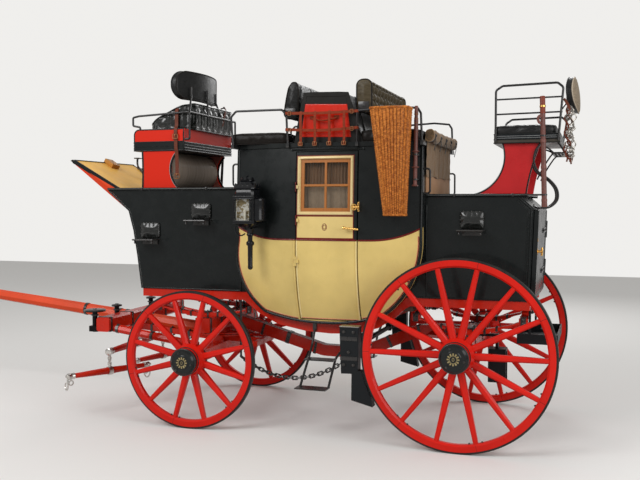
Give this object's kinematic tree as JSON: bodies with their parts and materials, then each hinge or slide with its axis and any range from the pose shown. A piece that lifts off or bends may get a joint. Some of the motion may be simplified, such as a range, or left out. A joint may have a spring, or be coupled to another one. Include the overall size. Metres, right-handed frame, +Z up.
{
  "type": "road coach",
  "caption": "Horse-drawn road coach with closed cabin, front and rear boots, roof seats, steered front carriage with pole, leaf springs and spoked wheels.",
  "frame": {"origin": "on the ground, midway between the pole's tip and the hindmost back pad, on the coach's centreline", "axes": "+X to the rear, +Y to the off (right) side, +Z up"},
  "size_m": [6.3498, 1.808, 2.767],
  "materials": {
    "red_paint": "gloss",
    "black_paint": "gloss",
    "panel_paint": "gloss",
    "door_paint": "gloss",
    "box_paint": "gloss",
    "footboard_paint": "gloss",
    "black_leather": "satin",
    "trunk_leather": "satin",
    "tan_leather": "satin",
    "tyre_rubber": "matt",
    "hub_cap": "gloss",
    "brass": "polished",
    "black_iron": "satin",
    "steel": "polished",
    "varnished_wood": "gloss",
    "wicker": "satin",
    "canvas": "matt",
    "cloth": "matt",
    "glass": "clear"
  },
  "bodies": {
    "coach": {"back_pads": "black_leather", "box_cushion": "black_leather", "box_seat": "box_paint", "brake_gear": "black_iron", "cabin_benches": "cloth", "cabin_floor": "panel_paint", "cabin_front": "black_paint", "cabin_rear": "black_paint", "cabin_roof": "black_paint", "cabin_side_left": "panel_paint", "cabin_side_right": "panel_paint", "canvas_apron": "canvas", "drag_chain": "black_iron", "footboard": "footboard_paint", "front_boot": "black_paint", "guard_seat": "box_paint", "hind_gear": "black_iron", "horn_cases": "tan_leather", "lamp_bodies": "black_paint", "lamp_glasses": "glass", "luggage_box": "trunk_leather", "perch": "red_paint", "rear_axle": "red_paint", "rear_boot": "black_paint", "roof_backs": "black_leather", "roof_irons": "black_iron", "seat_cushions": "black_leather", "seat_irons": "black_iron", "sill_beams": "red_paint", "springs": "red_paint", "step_pads": "black_leather", "steps": "black_iron", "umbrella_basket": "wicker"},
    "front_carriage": {"front_axle": "red_paint", "futchells": "red_paint", "pole": "red_paint", "swingle_bars": "red_paint", "draught_irons": "steel"},
    "wheel_front_left": {"wheel_front_left": "red_paint", "tyre_front_left": "tyre_rubber", "cap_front_left": "hub_cap"},
    "wheel_front_right": {"wheel_front_right": "red_paint", "tyre_front_right": "tyre_rubber", "cap_front_right": "hub_cap"},
    "wheel_rear_left": {"wheel_rear_left": "red_paint", "tyre_rear_left": "tyre_rubber", "cap_rear_left": "hub_cap"},
    "wheel_rear_right": {"wheel_rear_right": "red_paint", "tyre_rear_right": "tyre_rubber", "cap_rear_right": "hub_cap"},
    "door_left": {"door_left": "door_paint", "sash_left": "varnished_wood", "glass_left": "glass", "handle_left": "brass"},
    "door_right": {"door_right": "door_paint", "sash_right": "varnished_wood", "glass_right": "glass", "handle_right": "brass"},
    "boot_door": {"boot_door": "black_paint"}
  },
  "joints": [
    {"name": "steering", "type": "hinge", "parent": "coach", "child": "front_carriage", "pos_m": [0.38186, 0, 0.5945], "axis": [0, 0, 1], "range_deg": [-24.8, 19.2]},
    {"name": "wheel_front_left_spin", "type": "hinge", "parent": "front_carriage", "child": "wheel_front_left", "pos_m": [0.41909, -0.76109, 0.516], "axis": [-0.0489, 0.9988, 0], "continuous": true},
    {"name": "wheel_rear_left_spin", "type": "hinge", "parent": "coach", "child": "wheel_rear_left", "pos_m": [2.41286, -0.762, 0.66], "axis": [0, 1, 0], "continuous": true},
    {"name": "door_left_swing", "type": "hinge", "parent": "coach", "child": "door_left", "pos_m": [1.22286, -0.655, 1.43], "axis": [0, 0, -1], "range_deg": [0, 90]},
    {"name": "wheel_front_right_spin", "type": "hinge", "parent": "front_carriage", "child": "wheel_front_right", "pos_m": [0.34464, 0.76109, 0.516], "axis": [-0.0489, 0.9988, 0], "continuous": true},
    {"name": "wheel_rear_right_spin", "type": "hinge", "parent": "coach", "child": "wheel_rear_right", "pos_m": [2.41286, 0.762, 0.66], "axis": [0, 1, 0], "continuous": true},
    {"name": "door_right_swing", "type": "hinge", "parent": "coach", "child": "door_right", "pos_m": [1.22286, 0.655, 1.43], "axis": [0, 0, 1], "range_deg": [0, 90]},
    {"name": "boot_door_swing", "type": "hinge", "parent": "coach", "child": "boot_door", "pos_m": [2.90395, 0.477, 1.33], "axis": [0.0342, 0, 0.9994], "range_deg": [0, 90]}
  ]
}
